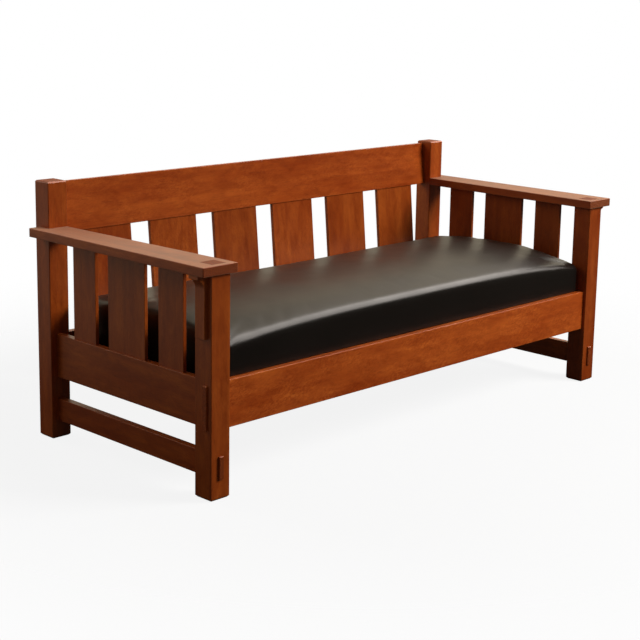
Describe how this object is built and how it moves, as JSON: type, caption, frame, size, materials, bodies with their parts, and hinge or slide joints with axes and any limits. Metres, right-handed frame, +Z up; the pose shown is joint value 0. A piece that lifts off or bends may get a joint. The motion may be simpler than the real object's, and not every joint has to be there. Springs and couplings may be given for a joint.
{
  "type": "settle",
  "caption": "Long oak mission settle with square posts, flat arms on coved corbels, slatted sides, a slatted leaning back and a loose black leather seat cushion.",
  "frame": {"origin": "on the floor, under the middle of the overall width and depth", "axes": "+X along the settle to its right-hand end as seen from the front, -Y towards the front, +Z up"},
  "size_m": [1.905, 0.821, 0.798],
  "materials": {
    "oak": "stained and waxed, satin",
    "deck_wood": "planed, unfinished",
    "black_leather": "smooth, semi-gloss",
    "steel_screws": "bright zinc"
  },
  "bodies": {
    "frame": {"front_post_left": "oak", "back_post_left": "oak", "arm_left": "oak", "corbel_left": "oak", "side_seat_rail_left": "oak", "side_stretcher_left": "oak", "side_slat_left_1": "oak", "side_slat_left_2": "oak", "side_slat_left_3": "oak", "front_post_right": "oak", "back_post_right": "oak", "arm_right": "oak", "corbel_right": "oak", "side_seat_rail_right": "oak", "side_stretcher_right": "oak", "side_slat_right_1": "oak", "side_slat_right_2": "oak", "side_slat_right_3": "oak", "front_seat_rail": "oak", "back_seat_rail": "oak", "back_top_rail": "oak", "back_slat_1": "oak", "back_slat_2": "oak", "back_slat_3": "oak", "back_slat_4": "oak", "back_slat_5": "oak", "back_slat_6": "oak", "seat_cleat_front": "deck_wood", "seat_cleat_back": "deck_wood", "seat_slat_01": "deck_wood", "seat_slat_02": "deck_wood", "seat_slat_03": "deck_wood", "seat_slat_04": "deck_wood", "seat_slat_05": "deck_wood", "seat_slat_06": "deck_wood", "seat_slat_07": "deck_wood", "seat_slat_08": "deck_wood", "seat_slat_09": "deck_wood", "seat_slat_10": "deck_wood", "seat_slat_11": "deck_wood", "cleat_screws": "steel_screws", "seat_slat_screws": "steel_screws"},
    "cushion": {"seat_cushion": "black_leather"}
  },
  "joints": [
    {"name": "cushion_lift", "type": "slide", "parent": "frame", "child": "cushion", "axis": [0, 0, 1], "range_m": [0, 0.12]}
  ]
}
